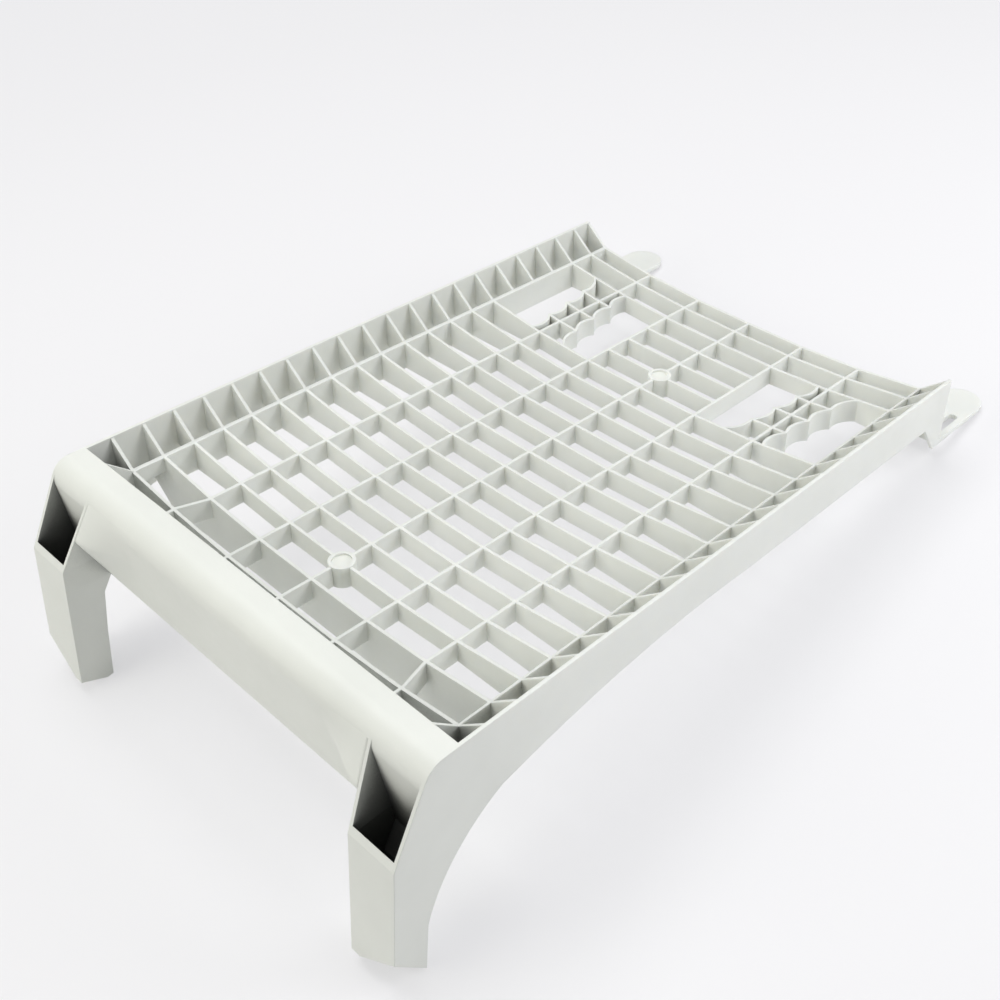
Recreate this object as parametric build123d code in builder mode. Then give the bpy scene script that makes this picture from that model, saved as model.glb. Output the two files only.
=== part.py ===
import os
from math import atan2, cos, degrees, radians, sin, tan

from build123d import *

# Rib grid; heights count from the deck's own low middle, lengths from the first cross rib
cells_across = 6
cross_ribs = 20
rib_pitch_x = 52.0
rib_pitch_y = 23.0
rib_thickness = 2.2
deck_depth = 14.7
rail_bottom = -11.7
first_rib_depth = 1.0
dish_rise = 10.0
dish_level_half = 26.0
end_gap = 18.0
front_splay = 6.0
deep_web_depth = 33.0
deep_web_chamfer = 22.0
boss_radius = 8.7
boss_rim = 2.4
boss_proud = 0.6
boss_recess = 1.5
boss_rows = (2, 15)

# Side walls, with the sweep of their lower edge as (along, up) points
wall = 2.4
side_zone = 20.0
gusset_rise = 16.3
wall_lip = 0.7
side_drop = 5.0
sweep_start_y = 220.0
sweep_middle = (85.0, -11.0)
sweep_end = (10.0, -25.0)
arch_middle = (-27.0, -54.0)

# Apron at the high end: level top, rounded nose, hanging skirt
apron_edge_y = -18.0
nose_y = -29.0
nose_radius = 14.0
skirt_turn = 97.0
skirt_length = 58.0

# Hollow legs, open at the top in front of the apron
leg_inner = 142.0
leg_flare = 8.0
lip_turn = 63.8
lip_z = -29.0
toe_flare = 6.2
toe_z = -121.0
leg_knee = (-42.0, -58.5)
leg_rear_y = -46.0
leg_rear_top = -90.0
heel_y = -49.5
leg_reach = 129.7
pocket_depth = 115.0
knee_wall = 3.6
skirt_seat = 4.8
foot_flat = 7.0
foot_slant = 36.0
foot_rake = 49.0

# Shoe windows and the scalloped bar down the middle of each
window_row = 14
window_rows = 4
bar_narrow = 10.0
bar_step = 3.0
bar_flare = 28.0
scallop = 4.0

# Tongues at the low end
tongue_inner = 146.0
tongue_top = -25.0
tongue_thickness = 4.0
tongue_overlap = 1.0
tongue_reach = 76.0
slot_length = 32.0
slot_width = 7.0
slot_from_end = 22.5
slot_from_edge = 8.4
rear_foot_run = 26.0
rear_foot_width = 9.0

# Depths trimmed off the heels and the tongue tips to leave flats
heel_trim = 1.6
foot_trim = 0.8

half_rib = rib_thickness / 2
half_wall = wall / 2
half_span = cells_across * rib_pitch_x / 2
wall_inner = half_span + side_zone
wall_middle = wall_inner + half_wall
half_width = wall_inner + wall
gusset_top = dish_rise + gusset_rise
wall_top = gusset_top + wall_lip
last_rib_y = (cross_ribs - 1) * rib_pitch_y
end_y = last_rib_y + end_gap
end_face = end_y + half_wall
nose_z = wall_top - nose_radius
core_radius = nose_radius - half_wall
nose_reach = nose_radius - nose_y
tongue_bottom = tongue_top - tongue_thickness
tongue_tip = end_y + tongue_reach
tongue_radius = (half_width - tongue_inner) / 2
rib_x = [column * rib_pitch_x - half_span for column in range(cells_across + 1)]
cell_width = rib_pitch_x - rib_thickness
cell_length = rib_pitch_y - rib_thickness


def dish(x):
    beyond = max(abs(x) - dish_level_half, 0)
    return dish_rise * (beyond / (half_span - dish_level_half)) ** 2


def nose_point(radius, turn):
    return (nose_y - radius * sin(radians(turn)), nose_z + radius * cos(radians(turn)))


def heading(turn):
    return (-cos(radians(turn)), -sin(radians(turn)))


def ahead(start, turn, length):
    across, up = heading(turn)
    return (start[0] + length * across, start[1] + length * up)


lip_start = nose_point(nose_radius, lip_turn)
leg_lip = ahead(lip_start, lip_turn, (lip_start[1] - lip_z) / sin(radians(lip_turn)))
leg_front_y = leg_lip[0]
toe_y = leg_front_y - toe_flare
skirt_core = ahead(nose_point(core_radius, skirt_turn), skirt_turn, skirt_length)

# Scalloped bar: its outer edge flares towards the low end, its inner edge towards the high end
window_ys = [(window_row + row) * rib_pitch_y for row in range(window_rows + 1)]
bar_x = half_span - rib_pitch_x
bar_offsets = [bar_narrow + bar_step * row for row in range(window_rows)] + [bar_flare]


def bar_face(inset):
    outer = [(bar_x + offset - inset, y) for offset, y in zip(bar_offsets, window_ys)]
    inner = [(bar_x - offset + inset, y) for offset, y in zip(reversed(bar_offsets), window_ys)]
    with BuildSketch() as bar:
        with BuildLine():
            for start, end in zip(outer, outer[1:]):
                SagittaArc(start, end, scallop)
            for start, end in zip(inner, inner[1:]):
                SagittaArc(start, end, -scallop)
            Line(outer[0], inner[0])
            Line(outer[-1], inner[-1])
        make_face()
    return bar.sketch


bar_outline = bar_face(0)
bar_inside = bar_face(rib_thickness)
bar_cells = [(bar_x + side * rib_pitch_x / 2, y + rib_pitch_y / 2)
             for side in (-1, 1) for y in window_ys[:-1]]

with BuildSketch() as ladder:
    with Locations(*bar_cells):
        Rectangle(cell_width, cell_length)
    add(bar_inside, mode=Mode.INTERSECT)

with BuildSketch() as window:
    with Locations((bar_x, (window_ys[0] + window_ys[-1]) / 2)):
        Rectangle(2 * rib_pitch_x - rib_thickness, window_rows * rib_pitch_y - rib_thickness)
    add(bar_outline, mode=Mode.SUBTRACT)
    add(ladder.sketch)

# Openings between the ribs, all but the first row square
side_width = side_zone - half_rib
side_x = wall_inner - side_width / 2
last_gap = end_gap - half_rib - half_wall
last_middle = last_rib_y + half_rib + last_gap / 2
plain_cells = []
side_cells = []
for row in range(1, cross_ribs - 1):
    middle = (row + 0.5) * rib_pitch_y
    side_cells += [(-side_x, middle), (side_x, middle)]
    beside_window = window_row <= row < window_row + window_rows
    columns = rib_x[2:-3] if beside_window else rib_x[:-1]
    plain_cells += [(x + rib_pitch_x / 2, middle) for x in columns]

with BuildSketch() as openings:
    with Locations(*plain_cells):
        Rectangle(cell_width, cell_length)
    with Locations(*side_cells):
        Rectangle(side_width, cell_length)
    with Locations(*[(x + rib_pitch_x / 2, last_middle) for x in rib_x[:-1]]):
        Rectangle(cell_width, last_gap)
    with Locations((-side_x, last_middle), (side_x, last_middle)):
        Rectangle(side_width, last_gap)
    add(window.sketch)
    mirror(window.sketch, about=Plane.YZ)

# First row, where the ribs next to the outermost splay, and the gaps running on under the apron
splayed_x = list(rib_x)
splayed_x[1] -= front_splay
splayed_x[-2] += front_splay
near_x = [-wall_inner, *splayed_x, wall_inner]
far_x = [-wall_inner, *rib_x, wall_inner]
with BuildSketch() as first_row:
    for column in range(cells_across + 2):
        left_rib = half_rib if column > 0 else 0
        right_rib = half_rib if column <= cells_across else 0
        near_left = near_x[column] + left_rib
        near_right = near_x[column + 1] - right_rib
        far_left = far_x[column] + left_rib
        far_right = far_x[column + 1] - right_rib
        Polygon((near_left, half_rib), (near_right, half_rib), (far_right, rib_pitch_y - half_rib),
                (far_left, rib_pitch_y - half_rib), align=None)
        Polygon((near_left, -nose_reach), (near_right, -nose_reach), (near_right, -half_rib),
                (near_left, -half_rib), align=None)

# Dished deck from the apron to the end wall, with the outermost ribs rising to the apron's edge
with BuildPart() as deck:
    with BuildSketch(Plane.XZ.offset(nose_reach)):
        Polygon((-wall_middle, gusset_top), (-wall_inner, gusset_top), *[(x, dish(x)) for x in rib_x],
                (wall_inner, gusset_top), (wall_middle, gusset_top), (wall_middle, 0),
                (half_span, rail_bottom), *[(x, dish(x) - deck_depth) for x in reversed(rib_x[1:-1])],
                (-half_span, rail_bottom), (-wall_middle, 0), align=None)
    extrude(amount=-(nose_reach + end_face))
    for x in (-half_span, half_span):
        with BuildSketch(Plane.YZ.offset(x)):
            Polygon((0, 0), (0, dish_rise), (apron_edge_y, wall_top - half_wall),
                    (-nose_reach, wall_top - half_wall), (-nose_reach, 0), align=None)
        extrude(amount=half_rib, both=True)
    with BuildSketch(Plane.YZ):
        with BuildLine():
            core = JernArc((nose_y, wall_top - half_wall), (-1, 0), core_radius, skirt_turn)
            Polyline(core @ 1, skirt_core, (end_face, skirt_core[1]), (end_face, wall_top),
                     (nose_y, wall_top), core @ 0)
        make_face()
    extrude(amount=half_width, both=True, mode=Mode.INTERSECT)
    extrude(openings.sketch, amount=half_width, both=True, mode=Mode.SUBTRACT)
    extrude(first_row.sketch, amount=half_width, both=True, mode=Mode.SUBTRACT)
    with BuildSketch(Plane.XY.offset(-deck_depth)):
        with Locations((-half_span, rib_pitch_y / 2), (half_span, rib_pitch_y / 2)):
            Rectangle(2 * rib_thickness, cell_length)
    extrude(amount=deck_depth - first_rib_depth, mode=Mode.SUBTRACT)

# Block of one leg, its inner face flaring towards the middle above the lip
with BuildPart() as leg:
    with BuildSketch(Plane.YZ.offset(leg_inner - leg_flare)):
        with BuildLine():
            core = JernArc(nose_point(core_radius, lip_turn), heading(lip_turn), core_radius,
                           skirt_turn - lip_turn)
            Polyline(core @ 1, skirt_core, leg_knee, (leg_rear_y, leg_rear_top), (heel_y, -leg_reach),
                     (toe_y, toe_z), leg_lip, lip_start, core @ 0)
        make_face()
    extrude(amount=wall_middle - leg_inner + leg_flare)
    with BuildSketch(Plane.XZ):
        Polygon((leg_inner, -leg_reach), (wall_middle, -leg_reach), (wall_middle, wall_top),
                (leg_inner - leg_flare, wall_top), (leg_inner, lip_z), align=None)
    extrude(amount=2 * nose_reach, mode=Mode.INTERSECT)

# One side: wall, leg and tongue, the leg's outer front corner cut away under the toe
with BuildPart() as side:
    with BuildSketch(Plane.YZ.offset(wall_inner)):
        with BuildLine():
            nose = JernArc((nose_y, wall_top), (-1, 0), nose_radius, lip_turn)
            Polyline(nose @ 1, leg_lip, (toe_y, toe_z), (heel_y, -leg_reach), (leg_rear_y, leg_rear_top))
            ThreePointArc((leg_rear_y, leg_rear_top), arch_middle, sweep_end)
            ThreePointArc(sweep_end, sweep_middle, (sweep_start_y, -side_drop))
            Polyline((sweep_start_y, -side_drop), (end_face - rear_foot_run, -side_drop),
                     (end_face - rear_foot_width, tongue_bottom), (end_face, tongue_bottom),
                     (end_face, wall_top), nose @ 0)
        make_face()
    extrude(amount=wall)
    add(leg.part)
    corner = Plane((leg_inner + foot_flat, toe_y, toe_z),
                   z_dir=(-tan(radians(foot_slant)), tan(radians(foot_rake)), 1))
    split(bisect_by=corner, keep=Keep.TOP)
    with BuildSketch(Plane.XY.offset(tongue_bottom)):
        with BuildLine():
            outer_edge = Line((half_width, end_y - tongue_overlap),
                              (half_width, tongue_tip - tongue_radius))
            tip = JernArc(outer_edge @ 1, (0, 1), tongue_radius, 180)
            Polyline(tip @ 1, (tongue_inner, end_y - tongue_overlap), outer_edge @ 0)
        make_face()
        with Locations((half_width - slot_from_edge, end_y + slot_from_end)):
            SlotOverall(slot_length, slot_width, rotation=90, mode=Mode.SUBTRACT)
    extrude(amount=tongue_thickness)
    with BuildSketch(Plane.XZ.offset(-end_face)):
        Polygon((tongue_inner, tongue_bottom), (wall_middle, tongue_bottom), (wall_middle, 0),
                (tongue_inner, 0), align=None)
    extrude(amount=wall)

# Hollow of one leg, with the apron's outer face as its back
with BuildPart() as pocket:
    with BuildSketch(Plane.YZ.offset(leg_inner + wall - leg_flare)):
        with BuildLine():
            back = JernArc(lip_start, heading(lip_turn), nose_radius, skirt_turn - lip_turn)
            Polyline(back @ 1, ahead(nose_point(nose_radius, skirt_turn), skirt_turn,
                                       skirt_length - skirt_seat),
                     (leg_knee[0] - knee_wall, leg_knee[1]), (leg_rear_y - wall, leg_rear_top),
                     (heel_y - wall, -leg_reach), (toe_y + wall, toe_z), (leg_front_y + wall, lip_z),
                     (leg_front_y + wall, lip_start[1]), back @ 0)
        make_face()
    extrude(amount=wall_inner - leg_inner - wall + leg_flare)
    with BuildSketch(Plane.XZ):
        flat_edge = leg_inner + foot_flat
        Polygon((leg_inner + wall, -pocket_depth), (flat_edge, -pocket_depth),
                (half_width, (half_width - flat_edge) * tan(radians(foot_slant)) - pocket_depth),
                (half_width, wall_top), (leg_inner + wall - leg_flare, wall_top),
                (leg_inner + wall, lip_z), align=None)
    extrude(amount=2 * nose_reach, mode=Mode.INTERSECT)

# Whole rack with its deck level
with BuildPart() as level_rack:
    add(deck.part)
    add(side.part)
    mirror(side.part, about=Plane.YZ)
    with BuildSketch(Plane.YZ):
        with BuildLine():
            outer = JernArc((nose_y, wall_top), (-1, 0), nose_radius, skirt_turn)
            inner = JernArc((nose_y, wall_top - wall), (-1, 0), nose_radius - wall, skirt_turn)
            Polyline(outer @ 0, (apron_edge_y, wall_top), (apron_edge_y, wall_top - wall), inner @ 0)
            Polyline(outer @ 1, ahead(nose_point(nose_radius, skirt_turn), skirt_turn, skirt_length),
                     ahead(nose_point(nose_radius - wall, skirt_turn), skirt_turn, skirt_length), inner @ 1)
        make_face()
    extrude(amount=wall_middle, both=True)
    with BuildSketch(Plane.XZ.offset(-rib_pitch_y)):
        Polygon((-wall_middle, 0), (wall_middle, 0), (wall_middle, deep_web_chamfer - deep_web_depth),
                (wall_inner - deep_web_chamfer, -deep_web_depth),
                (deep_web_chamfer - wall_inner, -deep_web_depth),
                (-wall_middle, deep_web_chamfer - deep_web_depth), align=None)
    extrude(amount=half_rib, both=True)
    boss_places = [(0, row * rib_pitch_y) for row in boss_rows]
    with BuildSketch(Plane.XY.offset(-deck_depth)):
        with Locations(*boss_places):
            Circle(boss_radius)
    extrude(amount=deck_depth + boss_proud)
    with BuildSketch(Plane.XY.offset(boss_proud)):
        with Locations(*boss_places):
            Circle(boss_radius - boss_rim)
    extrude(amount=-boss_recess, mode=Mode.SUBTRACT)
    add(pocket.part, mode=Mode.SUBTRACT)
    mirror(pocket.part, about=Plane.YZ, mode=Mode.SUBTRACT)

# Stood on its heels and tongue tips, which are trimmed flat at the floor
lean = degrees(atan2(tongue_bottom + leg_reach - heel_trim, tongue_tip - heel_y))
cos_lean = cos(radians(lean))
sin_lean = sin(radians(lean))
floor_level = tongue_bottom * cos_lean - tongue_tip * sin_lean + foot_trim
toe_front = toe_y * cos_lean + toe_z * sin_lean
tip_end = tongue_tip * cos_lean + tongue_top * sin_lean
leaned = level_rack.part.moved(Location((0, -(toe_front + tip_end) / 2, -floor_level), (-lean, 0, 0)))
with BuildPart() as drying_rack:
    add(leaned)
    split(bisect_by=Plane.XY, keep=Keep.TOP)

drying_rack.part.label = "drying_rack"
os.makedirs("parts", exist_ok=True)
export_step(drying_rack.part, "parts/drying_rack.step")
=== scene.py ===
import math
import bpy
import numpy as np
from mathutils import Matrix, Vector


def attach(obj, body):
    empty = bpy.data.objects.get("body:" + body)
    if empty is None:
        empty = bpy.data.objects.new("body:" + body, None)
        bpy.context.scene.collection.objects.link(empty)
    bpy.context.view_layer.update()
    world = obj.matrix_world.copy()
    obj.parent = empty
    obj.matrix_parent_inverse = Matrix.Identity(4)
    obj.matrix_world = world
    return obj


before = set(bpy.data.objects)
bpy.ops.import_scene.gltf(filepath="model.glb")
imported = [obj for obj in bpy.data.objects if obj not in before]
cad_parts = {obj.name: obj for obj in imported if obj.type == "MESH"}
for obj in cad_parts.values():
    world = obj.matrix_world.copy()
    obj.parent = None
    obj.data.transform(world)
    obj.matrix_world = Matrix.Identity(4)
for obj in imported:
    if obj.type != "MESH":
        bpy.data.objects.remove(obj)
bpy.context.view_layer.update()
scene = bpy.context.scene
print("frame loaded:", sorted(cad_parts))


def freshTree(owner):
    owner.use_nodes = True
    owner.node_tree.nodes.clear()
    return owner.node_tree


def addNode(tree, kind, spot, sockets=None, **settings):
    node = tree.nodes.new(kind)
    node.location = spot
    for key, value in settings.items():
        setattr(node, key, value)
    for socket, value in (sockets or {}).items():
        node.inputs[socket].default_value = value
    return node


# output = the input moved from one range to another, held at the ends
def addRange(tree, spot, fromEnds, toEnds=(0.0, 1.0)):
    names = ("From Min", "From Max", "To Min", "To Max")
    return addNode(tree, "ShaderNodeMapRange", spot, dict(zip(names, (*fromEnds, *toEnds))))


# grey = the share of the colour that is left at each openness
def addShadeRamp(tree, spot, stops):
    ramp = addNode(tree, "ShaderNodeValToRGB", spot)
    while len(ramp.color_ramp.elements) < len(stops):
        ramp.color_ramp.elements.new(0.5)
    for stop, (openness, left) in zip(ramp.color_ramp.elements, stops):
        stop.position = openness
        stop.color = (left, left, left, 1.0)
    return ramp


rackPlastic = {
    "tint": ((0.32, (0.768, 0.785, 0.742)), (0.66, (0.815, 0.832, 0.788))),  # cloud value, colour
    "clouds": {"Scale": 9.0, "Detail": 4.0, "Roughness": 0.6},  # sizes are per metre
    "grain": {"Scale": 900.0, "Detail": 2.0},  # fine grain of the mould's face
    "scuffs": {"Scale": 140.0, "Detail": 5.0, "Distortion": 0.8},
    "relief": {"Strength": 0.35, "Distance": 0.00012},  # how deep the grain is
    "scuffEnds": (0.3, 0.7),
    "roughEnds": (0.40, 0.56),
    "edgeRadius": 0.0006,  # soft moulded arris
    "milkyFrom": (-0.215, -0.175),  # along the rack, from the solid apron to the thin ribs
    "milkyEnds": (0.0, 0.55),  # share of the light that goes through
    "finish": {
        "IOR": 1.49,
        "Specular IOR Level": 0.42,
        "Subsurface Scale": 0.006,
        "Subsurface Radius": (1.0, 0.95, 0.85),
    },
    "paintedShadeReach": 0.08,  # how far the painted shade of a corner or hollow reaches
    "paintedCornerShade": ((0.03, 0.10), (0.13, 0.76), (0.26, 1.0)),  # painted shade in corners: openness, share of the colour left
    "paintedHollowShade": ((0.10, 0.10), (0.38, 0.25), (0.66, 1.0)),  # the same, as deeper painted shade inside the legs' hollows
    "hollowSide": (0.134, 0.138),  # metres from the middle plane to the legs
    "hollowBack": (-0.2500, -0.2545),  # along the rack to the skirt's face
}


# colour = pale moved towards dull by cloudy noise, then darkened by painted shade in corners, and by deeper
# painted shade inside the legs;
# height = fine grain; gloss = scuffs
def makeRackPlastic(look):
    material = bpy.data.materials.new("rackPlastic")
    tree = freshTree(material)
    link = tree.links.new
    place = addNode(tree, "ShaderNodeTexCoord", (-1100, 0))
    noise = {}
    for row, name in enumerate(("clouds", "grain", "scuffs")):
        noise[name] = addNode(tree, "ShaderNodeTexNoise", (-880, 220 - 280 * row), look[name])
        link(place.outputs["Object"], noise[name].inputs["Vector"])
    tint = addNode(tree, "ShaderNodeValToRGB", (-640, 220))
    for stop, (cloud, colour) in zip(tint.color_ramp.elements, look["tint"]):
        stop.position = cloud
        stop.color = (*colour, 1.0)
    link(noise["clouds"].outputs["Fac"], tint.inputs["Fac"])
    # painted shade: the colour is darkened where this node finds the surface closed in, in the rack's corners
    # and cells
    nook = addNode(tree, "ShaderNodeAmbientOcclusion", (-640, 520), {"Distance": look["paintedShadeReach"]},
                   samples=8, only_local=True)
    corner = addShadeRamp(tree, (-420, 520), look["paintedCornerShade"])
    hollow = addShadeRamp(tree, (-420, 780), look["paintedHollowShade"])
    for ramp in (corner, hollow):
        link(nook.outputs["AO"], ramp.inputs["Fac"])
    # mask of the legs' hollows, where the painted shade is deeper
    spot = addNode(tree, "ShaderNodeSeparateXYZ", (-1100, 900))
    link(place.outputs["Object"], spot.inputs["Vector"])
    aside = addNode(tree, "ShaderNodeMath", (-900, 960), operation="ABSOLUTE")
    link(spot.outputs["X"], aside.inputs[0])
    inLeg = addNode(tree, "ShaderNodeMath", (-420, 1040), operation="MULTIPLY")
    for slot, (value, ends) in enumerate(((aside.outputs["Value"], look["hollowSide"]),
                                          (spot.outputs["Y"], look["hollowBack"]))):
        reach = addRange(tree, (-680, 1040 - 240 * slot), ends)
        link(value, reach.inputs["Value"])
        link(reach.outputs["Result"], inLeg.inputs[slot])
    paintedShadeMix = addNode(tree, "ShaderNodeMix", (-240, 640), data_type="RGBA")
    link(inLeg.outputs["Value"], paintedShadeMix.inputs[0])  # 0 is the factor, 6 and 7 the two colours, 2 the result
    link(corner.outputs["Color"], paintedShadeMix.inputs[6])
    link(hollow.outputs["Color"], paintedShadeMix.inputs[7])
    # the tint multiplied by the painted shade
    shaded = addNode(tree, "ShaderNodeMix", (-320, 260), {"Factor": 1.0},
                     data_type="RGBA", blend_type="MULTIPLY")
    link(tint.outputs["Color"], shaded.inputs[6])
    link(paintedShadeMix.outputs[2], shaded.inputs[7])
    gloss = addRange(tree, (-640, -60), look["scuffEnds"], look["roughEnds"])
    link(noise["scuffs"].outputs["Fac"], gloss.inputs["Value"])
    arris = addNode(tree, "ShaderNodeBevel", (-640, -340), {"Radius": look["edgeRadius"]}, samples=4)
    relief = addNode(tree, "ShaderNodeBump", (-400, -260), look["relief"])
    link(noise["grain"].outputs["Fac"], relief.inputs["Height"])
    link(arris.outputs["Normal"], relief.inputs["Normal"])
    plastic = addNode(tree, "ShaderNodeBsdfPrincipled", (-160, 100), look["finish"])
    thin = addRange(tree, (-400, -560), look["milkyFrom"], look["milkyEnds"])
    link(spot.outputs["Y"], thin.inputs["Value"])
    link(thin.outputs["Result"], plastic.inputs["Subsurface Weight"])
    link(shaded.outputs[2], plastic.inputs["Base Color"])
    link(gloss.outputs["Result"], plastic.inputs["Roughness"])
    link(relief.outputs["Normal"], plastic.inputs["Normal"])
    output = addNode(tree, "ShaderNodeOutputMaterial", (140, 100))
    link(plastic.outputs["BSDF"], output.inputs["Surface"])
    return material


legBlend = {
    "noseMiddle": (-29.0, 13.0),  # millimetres along and up, with the deck level
    "noseRadius": 14.0,
    "skirtTurn": 97.0,  # degrees from level where the nose runs out into the skirt
    "lipTurn": 63.8,
    "topTrim": 0.1,
    "crest": -7.3,  # height at which the blend stands out most
    "foot": -46.2,
    "legInner": 142.0,
    "legFlare": (8.0, -29.0, 27.0),  # how far, from which height, to which height
    "run": 46.0,  # length over which the blend fades into the skirt
    "intoLeg": 0.4,
    "intoSkirt": 0.12,
    "backDepth": 1.0,
    "steps": (18, 34),  # across and down
    "lean": 9.687851,
    "stand": (-214.20407, 117.14331),  # from the level deck's zero to the middle of the floor
}


# skirt face = nose arc, then a straight run; crest line = the lip's slope down to the crest, then straight to
# the foot; blend = skirt face moved towards the crest line, fading by a smooth step away from the leg
def makeLegBlend(look, side, material):
    along, up = look["noseMiddle"]
    radius = look["noseRadius"]
    lip = math.radians(look["lipTurn"])
    turn = math.radians(look["skirtTurn"])
    lipAlong = along - radius * math.sin(lip)
    lipUp = up + radius * math.cos(lip)
    skirtAlong = along - radius * math.sin(turn)
    skirtUp = up + radius * math.cos(turn)
    columns, rows = look["steps"]
    height = np.linspace(lipUp - look["topTrim"], look["foot"], rows)
    arc = along - np.sqrt(np.maximum(radius ** 2 - (height - up) ** 2, 0.0))
    straight = skirtAlong - (skirtUp - height) / math.tan(turn)
    skirt = np.where(height > skirtUp, arc, straight)
    slope = lipAlong - (lipUp - height) / math.tan(lip)
    crest = lipAlong - (lipUp - look["crest"]) / math.tan(lip)
    tuck = np.interp(height, [look["foot"], look["crest"]], [skirt[-1], crest])
    bulge = skirt - np.where(height > look["crest"], slope, tuck)
    flare, flareLow, flareHigh = look["legFlare"]
    edge = look["legInner"] + look["intoLeg"]
    edge = edge - flare * np.clip((height - flareLow) / (flareHigh - flareLow), 0.0, 1.0)
    step = np.linspace(0.0, 1.0, columns)
    fade = 1.0 - step ** 2 * (3.0 - 2.0 * step)
    across = side * (edge[None, :] - look["run"] * step[:, None])
    front = skirt[None, :] + look["intoSkirt"] - bulge[None, :] * fade[:, None]
    behind = np.broadcast_to(skirt[None, :] + look["backDepth"], front.shape)
    tall = np.broadcast_to(height[None, :], front.shape)
    lean = math.radians(look["lean"])
    layers = []
    for depth in (front, behind):
        standY = depth * math.cos(lean) + tall * math.sin(lean) + look["stand"][0]
        standZ = tall * math.cos(lean) - depth * math.sin(lean) + look["stand"][1]
        layers.append(np.stack([across, standY, standZ], -1).reshape(-1, 3) / 1000.0)  # metres
    spots = np.arange(columns * rows).reshape(columns, rows)
    sheet = np.stack([spots[:-1, :-1], spots[1:, :-1], spots[1:, 1:], spots[:-1, 1:]], -1).reshape(-1, 4)
    rim = np.concatenate([spots[:-1, 0], spots[-1, :-1], spots[:0:-1, -1], spots[0, :0:-1]])
    ahead = np.roll(rim, -1)
    wall = np.stack([rim, rim + spots.size, ahead + spots.size, ahead], -1)
    quads = np.concatenate([sheet, sheet[:, ::-1] + spots.size, wall])
    if side < 0:
        quads = quads[:, ::-1]  # the mirrored side is turned to face outwards too
    mesh = bpy.data.meshes.new("legBlend")
    mesh.from_pydata(np.concatenate(layers).tolist(), [], quads.tolist())
    mesh.polygons.foreach_set("use_smooth", np.arange(len(quads)) < len(sheet))
    mesh.update()
    mesh.materials.append(material)
    blend = bpy.data.objects.new("legBlendPlus" if side > 0 else "legBlendMinus", mesh)
    scene.collection.objects.link(blend)
    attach(blend, "root")
    return blend


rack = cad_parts["drying_rack"]
plastic = makeRackPlastic(rackPlastic)
rack.data.materials.clear()
rack.data.materials.append(plastic)
for legSide in (-1, 1):
    makeLegBlend(legBlend, legSide, plastic)
print("plastic on the rack, legs blended into the apron")


floorLook = {
    "radius": 9.0,
    "innerShare": 0.02,  # first ring, as a share of the radius before squaring
    "rings": 24,
    "spokes": 96,
    "colour": (0.822, 0.819, 0.832),
    "glow": (0.950, 0.947, 0.968),
    "glowShare": (0.50, 0.95),  # share of the paper's own white near the rack and far off
    "glowReach": (0.9, 2.6),
}


# disc of rings and spokes: x = r cos t, y = r sin t, rings packed closer near the middle
def makeFloor(look):
    reach = np.linspace(look["innerShare"], 1.0, look["rings"]) ** 2 * look["radius"]
    turn = np.linspace(0, 2 * math.pi, look["spokes"], endpoint=False)
    ringGrid, turnGrid = np.meshgrid(reach, turn, indexing="ij")
    level = np.zeros_like(ringGrid)
    points = np.stack([ringGrid * np.cos(turnGrid), ringGrid * np.sin(turnGrid), level], -1)
    spots = np.arange(points.shape[0] * points.shape[1]).reshape(points.shape[:2])
    beside = np.roll(spots, -1, axis=1)
    quads = np.stack([spots[:-1], spots[1:], beside[1:], beside[:-1]], -1).reshape(-1, 4)
    mesh = bpy.data.meshes.new("studioFloor")
    mesh.from_pydata(points.reshape(-1, 3).tolist(), [], quads.tolist() + [spots[0].tolist()])
    mesh.update()
    mesh.materials.append(makePaper(look))
    floor = bpy.data.objects.new("studioFloor", mesh)
    scene.collection.objects.link(floor)
    return floor


# paper = diffuse white that keeps the shadow, mixed for the eye alone with its own plain white,
# more so far off
def makePaper(look):
    material = bpy.data.materials.new("studioPaper")
    tree = freshTree(material)
    link = tree.links.new
    paper = addNode(tree, "ShaderNodeBsdfDiffuse", (-300, 100), {"Color": (*look["colour"], 1.0)})
    glow = addNode(tree, "ShaderNodeEmission", (-300, -80), {"Color": (*look["glow"], 1.0)})
    place = addNode(tree, "ShaderNodeTexCoord", (-960, 80))
    away = addNode(tree, "ShaderNodeVectorMath", (-780, 80), operation="LENGTH")
    link(place.outputs["Object"], away.inputs[0])
    fade = addRange(tree, (-600, 80), look["glowReach"], look["glowShare"])
    link(away.outputs["Value"], fade.inputs["Value"])
    rays = addNode(tree, "ShaderNodeLightPath", (-760, 320))
    seen = addNode(tree, "ShaderNodeMath", (-560, 320), operation="ADD", use_clamp=True)
    seenClear = addNode(tree, "ShaderNodeMath", (-400, 320), operation="ADD", use_clamp=True)
    share = addNode(tree, "ShaderNodeMath", (-240, 320), operation="MULTIPLY")
    link(rays.outputs["Is Camera Ray"], seen.inputs[0])
    link(rays.outputs["Is Glossy Ray"], seen.inputs[1])
    link(seen.outputs["Value"], seenClear.inputs[0])
    link(rays.outputs["Is Transmission Ray"], seenClear.inputs[1])
    link(seenClear.outputs["Value"], share.inputs[0])
    link(fade.outputs["Result"], share.inputs[1])
    both = addNode(tree, "ShaderNodeMixShader", (-60, 100))
    link(share.outputs["Value"], both.inputs["Fac"])
    link(paper.outputs["BSDF"], both.inputs[1])
    link(glow.outputs["Emission"], both.inputs[2])
    output = addNode(tree, "ShaderNodeOutputMaterial", (140, 100))
    link(both.outputs["Shader"], output.inputs["Surface"])
    return material


studioAir = {
    "lighting": {"Color": (0.97, 0.98, 1.0, 1.0), "Strength": 0.26},
    "seen": {"Color": (0.915, 0.912, 0.930, 1.0), "Strength": 1.0},
}


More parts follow.
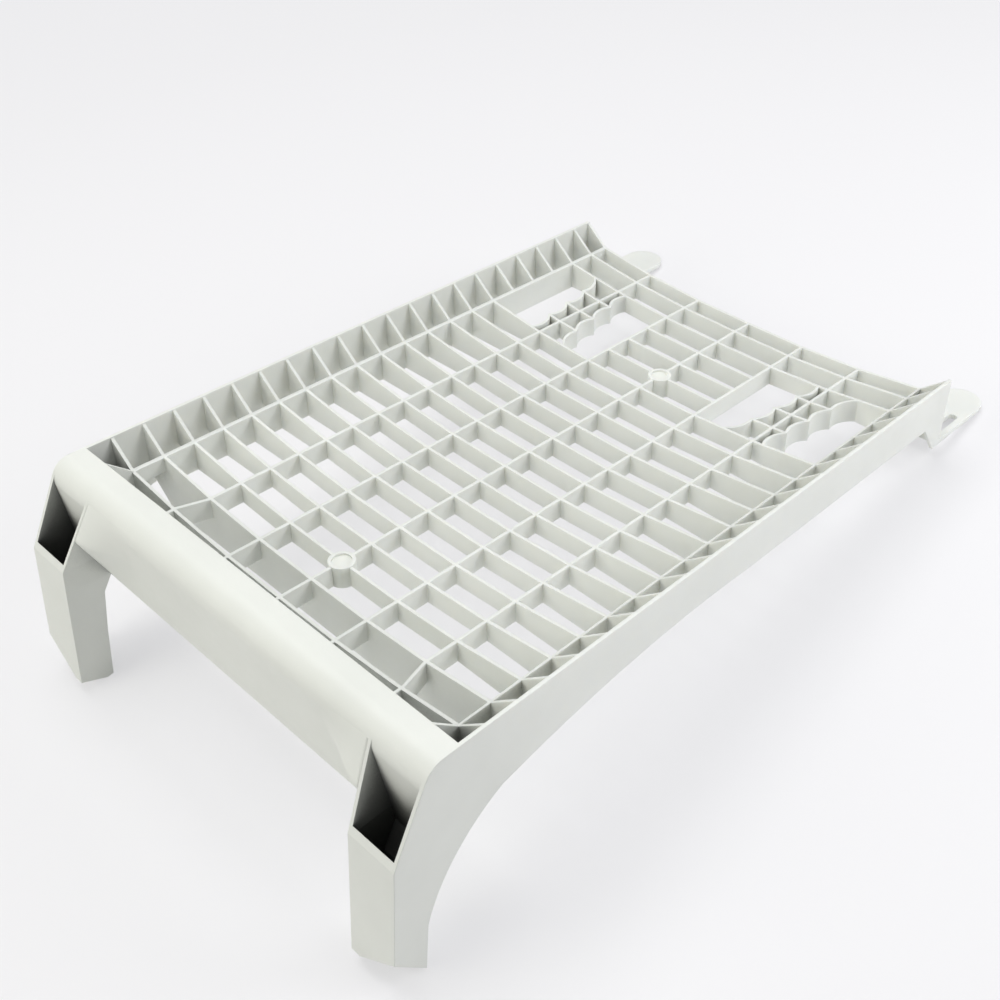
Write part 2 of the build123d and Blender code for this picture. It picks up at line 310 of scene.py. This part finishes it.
# the air lights the rack faintly and is seen by the camera as plain paper
def makeAir(look):
    world = bpy.data.worlds.new("studioAir")
    scene.world = world
    tree = freshTree(world)
    link = tree.links.new
    rays = addNode(tree, "ShaderNodeLightPath", (-500, 320))
    both = addNode(tree, "ShaderNodeMixShader", (-60, 100))
    link(rays.outputs["Is Camera Ray"], both.inputs["Fac"])
    for slot, part in enumerate(("lighting", "seen")):
        air = addNode(tree, "ShaderNodeBackground", (-300, 100 - 160 * slot), look[part])
        link(air.outputs["Background"], both.inputs[1 + slot])
    output = addNode(tree, "ShaderNodeOutputWorld", (140, 100))
    link(both.outputs["Shader"], output.inputs["Surface"])


lampPlan = {
    "overhead": {"place": (-0.5, 0.2, 2.2), "aim": (0, 0, 0.05), "size": 1.8, "power": 30.0,
                 "tint": (1.0, 1.0, 1.0)},
    "apronSide": {"place": (-0.7, -1.7, 1.25), "aim": (0, -0.1, 0.08), "size": 1.4, "power": 15.0,
                  "tint": (1.0, 0.985, 0.88)},  # warm, from in front of the apron
    "wallSide": {"place": (1.05, 0.85, 0.75), "aim": (0.1, 0.1, 0.05), "size": 1.0, "power": 11.0,
                 "tint": (0.98, 0.98, 1.0)},
}


def makeLamp(name, plan):
    light = bpy.data.lights.new(name, "AREA")
    light.shape = "DISK"
    light.size = plan["size"]
    light.energy = plan["power"]
    light.color = plan["tint"]
    lamp = bpy.data.objects.new(name, light)
    lamp.location = plan["place"]
    aim = Vector(plan["aim"]) - Vector(plan["place"])
    lamp.rotation_euler = aim.to_track_quat("-Z", "Y").to_euler()
    lamp.visible_camera = False
    scene.collection.objects.link(lamp)
    return lamp


photoCamera = {
    "place": (0.51763, -0.43032, 0.69051),
    "turn": (48.271, 4.903, 42.571),  # degrees about X, Y and Z
    "sensor": 36.0,
    "lens": 47.336,
    "shift": (-0.0942, -0.0769),
}


def makeCamera(plan):
    data = bpy.data.cameras.new("photoCamera")
    data.sensor_width = plan["sensor"]
    data.sensor_fit = "HORIZONTAL"
    data.lens = plan["lens"]
    data.shift_x, data.shift_y = plan["shift"]
    camera = bpy.data.objects.new("photoCamera", data)
    camera.location = plan["place"]
    camera.rotation_euler = [math.radians(angle) for angle in plan["turn"]]
    scene.collection.objects.link(camera)
    scene.camera = camera
    return camera


makeFloor(floorLook)
makeAir(studioAir)
for lampName, lampSettings in lampPlan.items():
    makeLamp(lampName, lampSettings)
makeCamera(photoCamera)
scene.view_settings.view_transform = "Standard"
print("floor, light and camera set")
